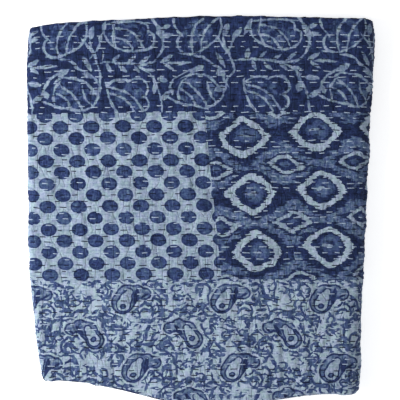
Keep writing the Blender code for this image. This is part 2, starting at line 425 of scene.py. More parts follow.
def soft_noise(x, y, cell_x, cell_y):
    """Smooth random heights between -1 and 1, read from the lattice of random numbers."""
    gx, gy = x / cell_x, y / cell_y
    ix, iy = np.floor(gx).astype(int), np.floor(gy).astype(int)
    fx, fy = eased(gx - ix), eased(gy - iy)
    high, wide = LATTICE.shape

    def across_cell(up):
        left, right = (LATTICE[(iy + up) % high, (ix + along) % wide] for along in (0, 1))
        return left * (1 - fx) + right * fx

    return across_cell(0) * (1 - fy) + across_cell(1) * fy


def along_row(x, row):
    """How far a place is from the middle of the nearest stitch of its row."""
    start = ROW_STARTS[np.asarray(row).astype(int) % len(ROW_STARTS)]
    return (x - start + STITCH_STEP / 2) % STITCH_STEP - STITCH_STEP / 2


def row_wander(x, y):
    """How far a row sewn by eye strays from its line."""
    return ROW_WANDER * soft_noise(x, y, *WANDER_CELL)


def relief(printed):
    """The height of the sewn surface above the plain cloth, at places on the print."""
    x, y = printed.T
    y = y - FIRST_WHITE_ROW + row_wander(x, y)
    row = np.round(y / ROW_PITCH)
    off_row = y - row * ROW_PITCH
    on_stitch = eased(1.3 - np.abs(along_row(x, row)) / (STITCH_LENGTH / 2))
    valley = np.exp(-((off_row / VALLEY_HALF_WIDTH) ** 2))
    height = -valley * (ROW_DEPTH + STITCH_DEPTH * on_stitch)
    puff = np.sin(math.pi * y / ROW_PITCH) ** 2
    height += PUCKER_HEIGHT * puff * soft_noise(x, y, *PUCKER_CELL)
    for gather in GATHERS:
        shift_x, shift_y = gather["shift"]
        height += gather["height"] * soft_noise(x + shift_x, y + shift_y, *gather["cell"])
    for crease in LONG_CREASES:
        start, end = np.array(crease["from"]), np.array(crease["to"])
        line = end - start
        share = np.clip(((printed - start) @ line) / (line @ line), 0, 1)
        away = np.linalg.norm(printed - start - share[:, None] * line, axis=1)
        height -= crease["depth"] * np.exp(-((away / CREASE_HALF_WIDTH) ** 2))
    return height


print("rows of stitching on the top face:", round(PACKET_HEIGHT / ROW_PITCH))

# %% [markdown]
# ## The flat quilt
#
# The patchwork is pieced like bricks: rows of equal height, each seam in the middle of the patch above it.
# The quilt starts as one flat grid whose lines already follow those seams and the creases of the fold.
# Solidify gives it the thickness of its layers. Then only the faces that will show on the folded packet are
# subdivided, because most of the sixteen plies are never seen.

# %% Where the grid's lines run
SEAM_ROWS = (0.1692, -0.1145)
PATCH_HEIGHT = SEAM_ROWS[0] - SEAM_ROWS[1]
SEAM_X = 0.0285
RUNS_TURNED = (-math.pi, 0, math.pi, 2 * math.pi)
turns_x = [TO_MIDDLE[0] + ACROSS.length[np.isclose(ACROSS.turned, turned)] for turned in RUNS_TURNED]
turns_y = [TO_MIDDLE[1] - LENGTHWISE.length[np.isclose(LENGTHWISE.turned, turned)] for turned in RUNS_TURNED]
HEAD_SEAM_X = turns_x[0][1]
PATCH_WIDTH = turns_x[2][0] - HEAD_SEAM_X
ACROSS_STEPS = (
    {"stretch": "tucked-in side", "from": turns_x[0][0], "steps": 8},
    {"stretch": "upper crease", "from": turns_x[0][1], "steps": 5},
    {"stretch": "top, left patch", "from": turns_x[1][0], "steps": 15},
    {"stretch": "top, right patch", "from": SEAM_X, "steps": 11},
    {"stretch": "wide spine", "from": turns_x[1][1], "steps": 8},
    {"stretch": "underside, first patch", "from": turns_x[2][0], "steps": 8},
    {"stretch": "underside, next patch", "from": SEAM_X + PATCH_WIDTH, "steps": 6},
    {"stretch": "lower crease", "from": turns_x[2][1], "steps": 5},
    {"stretch": "second tucked-in side", "from": turns_x[3][0], "steps": 8},
    {"stretch": "edge", "from": turns_x[3][1], "steps": 0},
)
DOWN_STEPS = (
    {"stretch": "tucked-in head", "from": turns_y[0][0], "steps": 8},
    {"stretch": "head crease", "from": turns_y[0][1], "steps": 4},
    {"stretch": "top row of patches", "from": turns_y[1][0], "steps": 10},
    {"stretch": "middle row of patches", "from": SEAM_ROWS[0], "steps": 19},
    {"stretch": "foot row of patches", "from": SEAM_ROWS[1], "steps": 13},
    {"stretch": "foot spine", "from": turns_y[1][1], "steps": 5},
    {"stretch": "under plies", "from": turns_y[2][0], "steps": 8},
    {"stretch": "second head crease", "from": turns_y[2][1], "steps": 4},
    {"stretch": "tucked-in foot", "from": turns_y[3][0], "steps": 8},
    {"stretch": "edge", "from": turns_y[3][1], "steps": 0},
)


def grid_lines(table):
    """Evenly spaced lines inside each stretch of the table."""
    lines = [table[0]["from"]]
    for stretch, following in zip(table, table[1:]):
        lines.extend(np.linspace(stretch["from"], following["from"], stretch["steps"] + 1)[1:])
    return np.array(lines)


columns, lines_down = grid_lines(ACROSS_STEPS), grid_lines(DOWN_STEPS)
print("grid:", len(columns) - 1, "by", len(lines_down) - 1, "squares")

# %% Lay the grid out and give it the thickness of the quilt
bpy.ops.mesh.primitive_grid_add(x_subdivisions=len(columns) - 1, y_subdivisions=len(lines_down) - 1, size=2)
quilt = bpy.context.object
quilt.name = quilt.data.name = "quilt_cloth"


def points_of(mesh):
    points = np.empty(3 * len(mesh.vertices))
    mesh.vertices.foreach_get("co", points)
    return points.reshape(-1, 3)


points = points_of(quilt.data)
column = np.round((points[:, 0] + 1) / 2 * (len(columns) - 1)).astype(int)
line_down = np.round((1 - points[:, 1]) / 2 * (len(lines_down) - 1)).astype(int)
points[:, 0], points[:, 1] = columns[column], lines_down[line_down]
quilt.data.vertices.foreach_set("co", points.ravel())
layers = quilt.modifiers.new("layers", "SOLIDIFY")
layers.thickness = PLY_THICKNESS
layers.offset = 0
bpy.ops.object.modifier_apply(modifier=layers.name)
print("flat quilt:", len(quilt.data.polygons), "faces")


# %% Subdivide only what will show
FINE_CUTS = 5


def face_centres(mesh):
    centres = np.empty(3 * len(mesh.polygons))
    mesh.polygons.foreach_get("center", centres)
    return centres.reshape(-1, 3)


centres = face_centres(quilt.data)
shows = centres[:, 2] > PLY_THICKNESS * 0.49
shows &= (centres[:, 0] > turns_x[0][1]) & (centres[:, 0] < turns_x[2][0])
shows &= (centres[:, 1] < turns_y[0][1]) & (centres[:, 1] > turns_y[2][0])
bpy.context.tool_settings.mesh_select_mode = (False, False, True)
bpy.ops.object.mode_set(mode="EDIT")
bpy.ops.mesh.select_all(action="DESELECT")
bpy.ops.object.mode_set(mode="OBJECT")
quilt.data.polygons.foreach_set("select", shows)
bpy.ops.object.mode_set(mode="EDIT")
bpy.ops.mesh.subdivide(number_cuts=FINE_CUTS)
bpy.ops.object.mode_set(mode="OBJECT")
print("subdivided:", int(shows.sum()), "faces, now", len(quilt.data.polygons))

# %% [markdown]
# ## Patches and prints
#
# Each face now learns which patch it belongs to, counted in rows and columns of the patchwork, and each
# patch has one of four prints. The points also keep their place on the print, in metres, as a UV map: it
# stays with the cloth when the cloth is folded, so the print goes round the folds as real print does.

# %% Count the patches
PRINTS = ("leaves and vines", "dots", "ikat", "paisleys")


def patch_print(flat):
    """Which print lies at places on the flat quilt: the patchwork's rows are pieced half a patch apart."""
    row = np.floor((SEAM_ROWS[0] - flat[:, 1]) / PATCH_HEIGHT).astype(int) + 1
    first_seam = np.where(row % 2 == 0, HEAD_SEAM_X, SEAM_X - PATCH_WIDTH)
    patch = np.floor((flat[:, 0] - first_seam) / PATCH_WIDTH).astype(int)
    return (row + patch + row // 2) % 4


def nearest_seam(flat):
    """How far a place on the flat quilt is from the nearest seam."""
    row = np.floor((SEAM_ROWS[0] - flat[:, 1]) / PATCH_HEIGHT) + 1
    to_row = np.abs((SEAM_ROWS[0] - flat[:, 1] + PATCH_HEIGHT / 2) % PATCH_HEIGHT - PATCH_HEIGHT / 2)
    first_seam = np.where(row % 2 == 0, HEAD_SEAM_X, SEAM_X)
    to_side = np.abs((flat[:, 0] - first_seam + PATCH_WIDTH / 2) % PATCH_WIDTH - PATCH_WIDTH / 2)
    return np.minimum(to_row, to_side)


quilt_print = patch_print(face_centres(quilt.data))
print("faces of each print:", {name: int((quilt_print == k).sum()) for k, name in enumerate(PRINTS)})

# %% Sew, fold and place the cloth
SEAM_RIDGE = {"from_seam": 0.0035, "half_width": 0.0028, "height": 0.0007}
SEAM_DITCH = {"half_width": 0.0018, "depth": 0.0006}
FADE_AT_SIDES, FADE_AT_ENDS = 0.02, 0.005


def sewn_height(flat, printed):
    """How far the sewn surface stands above the plain cloth. It fades out where the plies turn under."""
    seam = nearest_seam(flat)
    height = relief(printed)
    off_ridge = (seam - SEAM_RIDGE["from_seam"]) / SEAM_RIDGE["half_width"]
    height += SEAM_RIDGE["height"] * np.exp(-(off_ridge**2))
    height -= SEAM_DITCH["depth"] * np.exp(-((seam / SEAM_DITCH["half_width"]) ** 2))
    from_sides = np.minimum(flat[:, 0] - turns_x[0][1], turns_x[2][0] - flat[:, 0]) / FADE_AT_SIDES
    from_ends = np.minimum(turns_y[0][1] - flat[:, 1], flat[:, 1] - turns_y[2][0]) / FADE_AT_ENDS
    return height * eased(np.minimum(from_sides, from_ends))


flat = points_of(quilt.data)
_, printed = fold(flat)
flat[:, 2] += np.where(flat[:, 2] > 0, sewn_height(flat, printed), 0)
places, printed = fold(flat)
quilt.data.vertices.foreach_set("co", places.ravel())
quilt.data.update()
print("packet, in mm:", np.round(1000 * np.ptp(places, axis=0), 1))


# %% Keep the places on the print as a UV map
def keep_uv(mesh, name, at_points):
    """Gives a mesh one UV map, from a pair of numbers for each point."""
    point_of_corner = np.empty(len(mesh.loops), int)
    mesh.loops.foreach_get("vertex_index", point_of_corner)
    while mesh.uv_layers:
        mesh.uv_layers.remove(mesh.uv_layers[0])
    mesh.uv_layers.new(name=name).data.foreach_set("uv", at_points[point_of_corner].ravel())


keep_uv(quilt.data, "print", printed)
quilt.data.shade_smooth()
quilt.data.polygons.foreach_set("material_index", quilt_print)
print("UV map:", quilt.data.uv_layers[0].name)

# %% [markdown]
# ## The running stitches
#
# Each stitch is a short length of soft cotton thread that comes up through the cloth, lies on it for about
# 10 mm and goes down again. One is modelled as by hand: a thin cylinder, cut across in three places, with
# its ends drawn in and pushed down. It is then copied along every row of the flat quilt, and folded by the
# same rule. The sewer changed threads as they went: three rows in white, then three in navy.

# %% Model one stitch
THREAD_RADIUS, THREAD_FLATTENED = 0.0008, 0.8
STITCH_CUTS = (-0.36, 0.0, 0.36)
END_STARTS, END_DRAWN_IN, END_SUNK = 0.45, 0.6, 0.0008
bpy.ops.object.select_all(action="DESELECT")
bpy.ops.mesh.primitive_cylinder_add(
    vertices=6, radius=THREAD_RADIUS, depth=STITCH_LENGTH, end_fill_type="NGON", rotation=(0, math.pi / 2, 0)
)
stitch = bpy.context.object
bpy.ops.object.transform_apply(location=True, rotation=True, scale=True)
bpy.ops.object.mode_set(mode="EDIT")
for cut in STITCH_CUTS:
    bpy.ops.mesh.select_all(action="SELECT")
    bpy.ops.mesh.bisect(plane_co=(cut * STITCH_LENGTH, 0, 0), plane_no=(1, 0, 0))
bpy.ops.object.mode_set(mode="OBJECT")
thread = points_of(stitch.data)
around = np.arctan2(thread[:, 2], thread[:, 1])
at_end = np.abs(thread[:, 0]) > END_STARTS * STITCH_LENGTH
thread[at_end, 1:] *= END_DRAWN_IN
thread[at_end, 2] -= END_SUNK
thread[:, 2] *= THREAD_FLATTENED
thread_faces = [list(face.vertices) for face in stitch.data.polygons]
bpy.data.objects.remove(stitch)
print("one stitch:", len(thread), "points,", len(thread_faces), "faces")


# %% Sew the rows
ROWS_TOP, ROWS_FOOT = turns_y[0][1] + 0.012, turns_y[2][0] - 0.02
SPINE_SIDE = (turns_x[1][1] + turns_x[2][0]) / 2 + 0.015
STRAY, SHORTEST, LONGEST, LEAN = (0.0014, 0.0005), 0.62, 1.25, 0.05
SEWN = (
    {"name": "stitches_top", "from_x": turns_x[0][1] + 0.002, "to_x": SPINE_SIDE, "proud": 0.0003},
    {"name": "stitches_under", "from_x": SPINE_SIDE + 0.006, "to_x": turns_x[2][1] + 0.012, "proud": -0.00018},
)


def sew(name, from_x, to_x, proud):
    """Copies the stitch along every row between these places on the print, and folds it with the cloth."""
    first = math.ceil((ROWS_FOOT - FIRST_WHITE_ROW) / ROW_PITCH)
    last = math.floor((ROWS_TOP - FIRST_WHITE_ROW) / ROW_PITCH)
    middles, row_of = [], []
    for row in range(first, last + 1):
        start = ROW_STARTS[row % len(ROW_STARTS)]
        first_step = math.ceil((from_x - start) / STITCH_STEP)
        last_step = math.floor((to_x - start) / STITCH_STEP)
        xs = start + np.arange(first_step, last_step + 1) * STITCH_STEP
        middles.append(np.column_stack([xs, np.full(len(xs), FIRST_WHITE_ROW + row * ROW_PITCH)]))
        row_of.extend([row] * len(xs))
    middles = np.concatenate(middles)
    middles[:, 1] -= row_wander(middles[:, 0], middles[:, 1])
    middles += chance.normal(0, 1, middles.shape) * STRAY
    stretch = chance.uniform(SHORTEST, LONGEST, len(middles))
    lean = chance.normal(0, LEAN, len(middles))
    xs = thread[None, :, 0] * stretch[:, None]
    ys = thread[None, :, 1] + xs * lean[:, None]
    on_print = np.stack([middles[:, None, 0] + xs, middles[:, None, 1] + ys], -1).reshape(-1, 2)
    flat = flat_under(on_print)
    flat[:, 2] += np.tile(thread[:, 2], len(middles)) + sewn_height(flat, on_print) + proud
    places, _ = fold(flat)
    faces = [[point + k * len(thread) for point in face] for k in range(len(middles)) for face in thread_faces]
    mesh = bpy.data.meshes.new(name)
    mesh.from_pydata(places, [], faces)
    keep_uv(mesh, "thread", np.column_stack([xs.ravel(), np.tile(around, len(middles))]))
    mesh.shade_smooth()
    navy = (np.array(row_of) // 3) % 2
    mesh.polygons.foreach_set("material_index", np.repeat(navy, len(thread_faces)))
    sewn = bpy.data.objects.new(name, mesh)
    bpy.context.scene.collection.objects.link(sewn)
    print(name, "has", len(middles), "stitches and", len(mesh.polygons), "faces")
    return sewn


stitches_top, stitches_under = [sew(**rows) for rows in SEWN]

# %% [markdown]
# ## Indigo
#
# Every print here is the same dye at different strengths. Indigo sits on the outside of the thread, so it
# never looks flat: it is deep navy where it was printed or dipped twice, a soft denim blue where once, and
# the undyed ground is a greyish blue-white, because a little dye washes into it. So each print is drawn as
# one number, its paleness, and a shared group turns paleness into the colour of the dyed cotton.

# %% The dye, shared by all prints
DYE_STEPS = (
    {"dyed": "twice, deep", "paleness": 0.0, "colour": "#151f3c"},
    {"dyed": "twice", "paleness": 0.22, "colour": "#25335c"},
    {"dyed": "once", "paleness": 0.5, "colour": "#46587b"},
    {"dyed": "washed out", "paleness": 0.75, "colour": "#73839a"},
    {"dyed": "hardly", "paleness": 1.0, "colour": "#9eadbc"},
)


def new_group(name, takes, gives, kind="NodeSocketFloat"):
    """An empty node group that takes numbers and gives one result, and its input and output nodes."""
    tree = bpy.data.node_groups.new(name, "ShaderNodeTree")
    for socket in takes:
        tree.interface.new_socket(socket, in_out="INPUT", socket_type="NodeSocketFloat")
    tree.interface.new_socket(gives, in_out="OUTPUT", socket_type=kind)
    return tree, tree.nodes.new("NodeGroupInput"), tree.nodes.new("NodeGroupOutput")


dye, dye_in, dye_out = new_group("indigo dye", ["Paleness"], "Colour", "NodeSocketColor")
ramp = add(dye, "ValToRGB", dye_in.outputs["Paleness"])
stops = ramp.color_ramp.elements
for step in DYE_STEPS[1:-1]:
    stops.new(step["paleness"])
for stop, step in zip(stops, DYE_STEPS):
    stop.position, stop.color = step["paleness"], linear(step["colour"])
dye.links.new(ramp.outputs["Color"], dye_out.inputs["Colour"])
print("dye steps:", [step["dyed"] for step in DYE_STEPS])


# %% Places on the print, and a repeat: every place finds the nearest copy of a motif
def strayed(tree, place, noise, reach):
    """The place moved along and up by the noise, at most half of this reach each way."""
    off_middle = add(tree, "VectorMath", noise.outputs["Color"], (0.5, 0.5, 0.5), operation="SUBTRACT")
    return add(tree, "VectorMath", off_middle, (*reach, 0), place, operation="MULTIPLY_ADD")


def stretched_noise(tree, place, per_metre, *settings):
    """Noise whose grains are longer one way: about this many lie in a metre along and up."""
    scaled = add(tree, "VectorMath", place, (*per_metre, 1), operation="MULTIPLY")
    return add(tree, "TexNoise", scaled, 1.0, *settings)


def print_place(tree, ragged=0.0, ragged_size=0.004):
    """The place on the print, with its edges made ragged by this much, as a wooden block's are."""
    place = add(tree, "UVMap", uv_map="print")
    if ragged:
        speckle = add(tree, "TexNoise", place, 1 / ragged_size, 2.0, 0.6)
        place = strayed(tree, place, speckle, (2 * ragged, 2 * ragged))
    return place


def repeat(tree, place, origin, step_a, step_b):
    """Places measured from the nearest point of a lattice, and which point that is."""
    inverse = np.linalg.inv(np.array([step_a, step_b]).T)
    moved = add(tree, "VectorMath", place, (*origin, 0), operation="SUBTRACT")
    a = add(tree, "VectorMath", moved, (*inverse[0], 0), operation="DOT_PRODUCT")
    b = add(tree, "VectorMath", moved, (*inverse[1], 0), operation="DOT_PRODUCT")
    counted = add(tree, "CombineXYZ", a, b)
    half_on = add(tree, "VectorMath", counted, (0.5, 0.5, 0), operation="ADD")
    cell = add(tree, "VectorMath", half_on, operation="FLOOR")
    rest = add(tree, "SeparateXYZ", add(tree, "VectorMath", counted, cell, operation="SUBTRACT"))
    part_a = add(tree, "VectorMath", (*step_a, 0), rest.outputs["X"], operation="SCALE")
    part_b = add(tree, "VectorMath", (*step_b, 0), rest.outputs["Y"], operation="SCALE")
    return add(tree, "VectorMath", part_a, part_b, operation="ADD"), cell


print("prints to draw:", PRINTS)

# %% [markdown]
# ## The dot print
#
# Rows of ovals stamped in deep indigo on a washed ground, each row half a step along from the last. The
# wooden block leaves each oval a little different: some took more dye, and most are streaked. The rows are
# level but the columns lean, as the print lies a little off the grain, so the repeat is a leaning lattice
# and not a square one.
#
# A place finds only the nearest middle of its lattice, and where two cells of it meet an oval would be cut
# flat, because the ovals are taller than the step from row to row. So every second row has a lattice of its
# own, and of its two ovals a place takes the nearer one.

# %% The dot print
DOT_ORIGIN = (-0.2388, 0.1469)
DOT_STEP = (0.0532, 0.0)
DOT_ROW_STEP = (0.0273, -0.01935)
DOT_PAIR_STEP = (2 * DOT_ROW_STEP[0] - DOT_STEP[0], 2 * DOT_ROW_STEP[1] - DOT_STEP[1])
DOT_HALF_SIZE = (0.0138, 0.0110)
DOT_TURN = math.radians(-8)

dots, _, dots_out = new_group("dot print", [], "Paleness")
place = print_place(dots, ragged=0.0008, ragged_size=0.009)
by_hand = add(dots, "TexNoise", place, 22.0, 1.0, 0.5)
place = strayed(dots, place, by_hand, (0.0034, 0.003))
reaches, dyes_taken = [], []
for along, down in ((0, 0), DOT_ROW_STEP):
    first_middle = (DOT_ORIGIN[0] + along, DOT_ORIGIN[1] + down)
    local, cell = repeat(dots, place, first_middle, DOT_STEP, DOT_PAIR_STEP)
    oval = add(
        dots, "Mapping", local, (0, 0, 0), (0, 0, DOT_TURN), (*DOT_HALF_SIZE, 1), vector_type="TEXTURE"
    )
    reaches.append(add(dots, "VectorMath", oval, operation="LENGTH"))
    own_cell = add(dots, "VectorMath", cell, (along, down, 0), operation="ADD")
    dyes_taken.append(add(dots, "TexWhiteNoise", own_cell).outputs["Value"])
reach = add(dots, "Math", *reaches, operation="MINIMUM")
in_second = add(dots, "Math", reaches[1], reaches[0], operation="LESS_THAN")
dye_taken = add(dots, "Mix", in_second, *dyes_taken, data_type="FLOAT")
inside = add(dots, "MapRange", reach, 1.05, 0.94, interpolation_type="SMOOTHSTEP")
streaks = stretched_noise(dots, place, (140, 224), 3.0, 0.65)
mottled = add(dots, "MapRange", streaks, 0.33, 0.68, 0.04, 0.38)
each = add(dots, "Math", dye_taken, 0.16, mottled, operation="MULTIPLY_ADD")
rim = add(dots, "MapRange", reach, 0.7, 0.95, 0.0, 0.14, interpolation_type="SMOOTHSTEP")
each = add(dots, "Math", each, rim, operation="SUBTRACT")
ground = add(dots, "MapRange", streaks, 0.3, 0.7, 0.81, 0.95)
tone = add(dots, "Mix", inside, ground, each, data_type="FLOAT")
dots.links.new(tone.outputs[0], dots_out.inputs["Paleness"])
print("dot print:", len(dots.nodes), "nodes")

# %% [markdown]
# ## The ikat print
#
# Ikat yarns are dyed before weaving, so every edge of the pattern is feathered along them. The block print
# copies that: pale, lopsided rings with a blue eye, small ones between large ones, on a ground that runs
# between denim and navy in streaks. The feathering is noise that changes quickly up the cloth and slowly
# along it, and it moves the place that is looked up, before any shape is drawn.

# %% The ikat print
IKAT_ORIGIN = (0.0735, 0.1285)
IKAT_STEP = (0.1207, 0.0085)
IKAT_ROW_STEP = (0.0119, -0.0978)
IKAT_BIG = {"at": (0.0, 0.0), "half": (0.0432, 0.0352), "roundness": 1.3}
IKAT_EYE = {"at": (0.0045, 0.0025), "half": (0.0432, 0.0352), "roundness": 1.45}
IKAT_SMALL = {"at": (0.0714, -0.0476), "half": (0.031, 0.017), "roundness": 1.2}


def ikat_ring(tree, place, plan):
    """The lopsided ring's own measure: 0 at its middle, 1 at its outer edge."""
    origin = (IKAT_ORIGIN[0] + plan["at"][0], IKAT_ORIGIN[1] + plan["at"][1])
    local, _ = repeat(tree, place, origin, IKAT_STEP, IKAT_ROW_STEP)
    scaled = add(tree, "VectorMath", local, (*plan["half"], 1), operation="DIVIDE")
    folded_over = add(tree, "SeparateXYZ", add(tree, "VectorMath", scaled, operation="ABSOLUTE"))
    x = add(tree, "Math", folded_over.outputs["X"], plan["roundness"], operation="POWER")
    y = add(tree, "Math", folded_over.outputs["Y"], plan["roundness"], operation="POWER")
    total = add(tree, "Math", x, y, operation="ADD")
    return add(tree, "Math", total, 1 / plan["roundness"], operation="POWER"), scaled


ikat, _, ikat_out = new_group("ikat print", [], "Paleness")
plain = print_place(ikat)
feather = stretched_noise(ikat, plain, (30, 330), 1.0, 0.5)
wobble = add(ikat, "TexNoise", plain, 26.0, 1.0, 0.5)
place = strayed(ikat, plain, feather, (0.015, 0.006))
place = strayed(ikat, place, wobble, (0.020, 0.018))
big, _ = ikat_ring(ikat, place, IKAT_BIG)
eye, eye_place = ikat_ring(ikat, place, IKAT_EYE)
small, _ = ikat_ring(ikat, place, IKAT_SMALL)
streaks = stretched_noise(ikat, plain, (20, 120), 3.0, 0.65)
print("ikat print:", len(ikat.nodes), "nodes so far")

# %% Bands of the ikat rings
EYE_BANDS = ((0.0, 0.14), (0.13, 0.46), (0.3, 0.36), (0.44, 0.1))
RING_BANDS = ((0.0, 0.1), (0.7, 0.94), (1.0, 0.08), (1.3, 0.08))
SMALL_BANDS = ((0.0, 0.42), (0.3, 0.14), (0.66, 0.84), (1.0, 0.1))


def banded(tree, measure, bands, low=0.0, high=2.0):
    """Steps of paleness outwards from a motif's middle, as a ramp with hard edges over this range."""
    ramp = add(tree, "ValToRGB", add(tree, "MapRange", measure, low, high, 0.0, 1.0))
    ramp.color_ramp.interpolation = "CONSTANT"
    stops = ramp.color_ramp.elements
    for _ in range(len(bands) - 2):
        stops.new(0.5)
    for stop, (start, paleness) in zip(stops, bands):
        stop.position, stop.color = (start - low) / (high - low), (paleness, paleness, paleness, 1)
    return ramp


print("bands of the big ring:", len(EYE_BANDS) + len(RING_BANDS))

# %% The ikat's ground and the finished ikat
between = add(ikat, "Math", big, small, operation="SUBTRACT")
lean_dark = add(ikat, "Math", streaks, 3.2, between, operation="MULTIPLY_ADD")
ground = add(ikat, "MapRange", lean_dark, 0.8, 0.94, 0.13, 0.52)
blots = add(ikat, "TexNoise", plain, 190.0, 2.0, 0.6)
fine = add(ikat, "MapRange", blots, 0.33, 0.67, -0.09, 0.09)
ground = add(ikat, "Math", ground, fine, operation="ADD")
halo = add(ikat, "Math", streaks, -1.5, 2.06, operation="MULTIPLY_ADD")
small_halo = add(ikat, "Math", streaks, -1.7, 2.1, operation="MULTIPLY_ADD")
in_big = add(ikat, "Math", big, halo, operation="LESS_THAN")
in_ring = add(ikat, "Math", big, 0.7, operation="GREATER_THAN")
in_small = add(ikat, "Math", small, small_halo, operation="LESS_THAN")
streak_in_eye = add(ikat, "VectorMath", eye_place, (4.6, 14.0, 0), (0.5, 0.7, 0), operation="MULTIPLY_ADD")
off_streak = add(ikat, "VectorMath", streak_in_eye, operation="LENGTH")
in_streak = add(ikat, "Math", off_streak, 1.0, operation="LESS_THAN")
in_eye = add(ikat, "Mix", in_streak, banded(ikat, eye, EYE_BANDS), 0.76, data_type="FLOAT")
big_tone = add(ikat, "Mix", in_ring, in_eye, banded(ikat, big, RING_BANDS), data_type="FLOAT")
tone = add(ikat, "Mix", in_big, ground, big_tone, data_type="FLOAT")
tone = add(ikat, "Mix", in_small, tone, banded(ikat, small, SMALL_BANDS), data_type="FLOAT")
tone = add(ikat, "Math", fine, 0.8, tone, operation="MULTIPLY_ADD")
ikat.links.new(tone.outputs[0], ikat_out.inputs["Paleness"])
print("ikat print:", len(ikat.nodes), "nodes")

# %% [markdown]
# ## Drawn lines and filled leaves
#
# The last two prints are line drawings, cut in the block by hand. Each line is an arc between two ends, and
# a small leaf is a filled oval, so a motif is charted as a short table in millimetres of cloth, read from
# the middle of its repeat. An arc is part of a circle, and the side of its chord that it lies on cuts it to
# length. The width of the lines isn't in the chart: it changes along them, as it does where a hand cuts
# wood.

# %% Strokes
MM = 0.001


def arc_distance(tree, place, start, end, bulge):
    """How far a place is from an arc, in metres. A positive bulge is to the left on the way to the end."""
    start, end = np.array(start) * MM, np.array(end) * MM
    chord = end - start
    length = np.linalg.norm(chord)
    outward = np.array([-chord[1], chord[0]]) / length * math.copysign(1, bulge)
    rise = abs(bulge) * MM
    radius = (length**2 / 4 + rise**2) / (2 * rise)
    middle = (start + end) / 2
    centre = middle + outward * (rise - radius)
    from_centre = add(tree, "VectorMath", place, (*centre, 0), operation="DISTANCE")
    off = add(tree, "Math", from_centre, radius, operation="SUBTRACT")
    off = add(tree, "Math", off, operation="ABSOLUTE")
    inward = add(tree, "VectorMath", place, (*-outward, 0), operation="DOT_PRODUCT")
    past_chord = add(tree, "Math", inward, float(middle @ outward), operation="ADD")
    return add(tree, "Math", off, past_chord, operation="MAXIMUM")


def oval_distance(tree, place, x, y, half_length, half_width, turn):
    """How far a place is outside a filled oval, in metres; negative inside."""
    middle, turned = (x * MM, y * MM, 0), (0, 0, math.radians(turn))
    half_size = (half_length * MM, half_width * MM, 1)
    own = add(tree, "Mapping", place, middle, turned, half_size, vector_type="TEXTURE")
    reach = add(tree, "VectorMath", own, operation="LENGTH")
    return add(tree, "Math", reach, half_width * MM, -half_width * MM, operation="MULTIPLY_ADD")


def leaf_distance(tree, place, x, y, half_length, half_width, turn):
    """How far a place is outside a pointed leaf, in metres. Two equal circles overlap in such a leaf."""
    radius = (half_length**2 + half_width**2) / (2 * half_width) * MM
    across = np.array([-math.sin(math.radians(turn)), math.cos(math.radians(turn))])
    apart = across * (radius - half_width * MM)
    middle = np.array([x, y]) * MM
    centres = (middle + apart, middle - apart)
    far = [add(tree, "VectorMath", place, (*centre, 0), operation="DISTANCE") for centre in centres]
    farthest = add(tree, "Math", *far, operation="MAXIMUM")
    return add(tree, "Math", farthest, radius, operation="SUBTRACT")


def nearest_of(tree, distances):
    nearest = distances[0]
    for distance in distances[1:]:
        nearest = add(tree, "Math", nearest, distance, operation="MINIMUM")
    return nearest


def drawn(tree, place, lines, leaves, line_width):
    """How far a place is outside the nearest line or leaf of a chart, in metres."""
    line = nearest_of(tree, [arc_distance(tree, place, *row) for row in lines])
    line = add(tree, "Math", line, line_width * MM / 2, operation="SUBTRACT")
    leaf = nearest_of(tree, [leaf_distance(tree, place, *row) for row in leaves])
    return add(tree, "Math", line, leaf, operation="MINIMUM")


print("strokes are charted in units of", MM, "m")

# %% [markdown]
# ## The paisley print
#
# The paisley is a bent drop: a round head that narrows into a curled tail. It is built like a clay figure,
# from a few round lumps melted together, and the distance from that form gives its contours at once: a pale
# line round it, a dark outline, and a body that is a little darker in its middle. In the head lies a pale
# drop with an eye, and beside it a dark wedge. They face left and right in turn. The ground between is
# filled with curls and small leaves, and with broken strokes: noise stands for those that are too small to
# chart.

# %% The paisley's forms
PAISLEY_ORIGIN = (-0.1220, -0.1442)
PAISLEY_STEP = (0.1683, 0.0)
PAISLEY_ROW_STEP = (0.017, -0.1173)
PAISLEYS = (
    {
        "name": "upright",
        "from_first": (0.0, 0.0),
        "facing": 1,
        "lumps": ((-11, -9, 19.5), (-3, 3, 19.5), (14, 10, 12), (28, 6, 10.5)),
        "drop": ((-9.5, -12, 11), (-5, -1, 9), (1, 9, 5)),
        "eye": (-10, -15, 5.6, 4.6, 10),
        "marks": ((-7, -2, 1.8, 1.6, 0), (12, 2, 14, 4.0, 78), (27, 3, 7, 2.0, 30)),
    },
    {
        "name": "leaning",
        "from_first": (0.0935, -0.0585),
        "facing": -1,
        "lumps": ((-17, -14, 16), (-6, 2, 16), (9, 11, 12), (25, 6, 10.5)),
        "drop": ((-15.5, -13.5, 9.5), (-10, -3, 8), (-4, 6, 4.5)),
        "eye": (-14, -12, 5.6, 4.6, -30),
        "marks": ((-5, 3, 2.2, 2.0, 0), (9, 3, 11, 3.0, 52), (25, 2, 6, 2.0, 40)),
    },
)


def melted(tree, place, lumps, softness):
    """The distance in millimetres from a form melted together out of round lumps: negative inside it."""
    nearest = None
    for x, y, radius in lumps:
        away = add(tree, "VectorMath", place, (x * MM, y * MM, 0), operation="DISTANCE")
        distance = add(tree, "Math", away, 1 / MM, -radius, operation="MULTIPLY_ADD")
        if nearest is None:
            nearest = distance
        else:
            nearest = add(tree, "Math", nearest, distance, softness, operation="SMOOTH_MIN")
    return nearest


print("paisleys:", [plan["name"] for plan in PAISLEYS])

# %% [markdown]
# The curls and leaves round a paisley, as rows of x, y, x, y and bulge for a line, and of x, y, half
# length, half width and turn for a leaf, in millimetres and degrees.

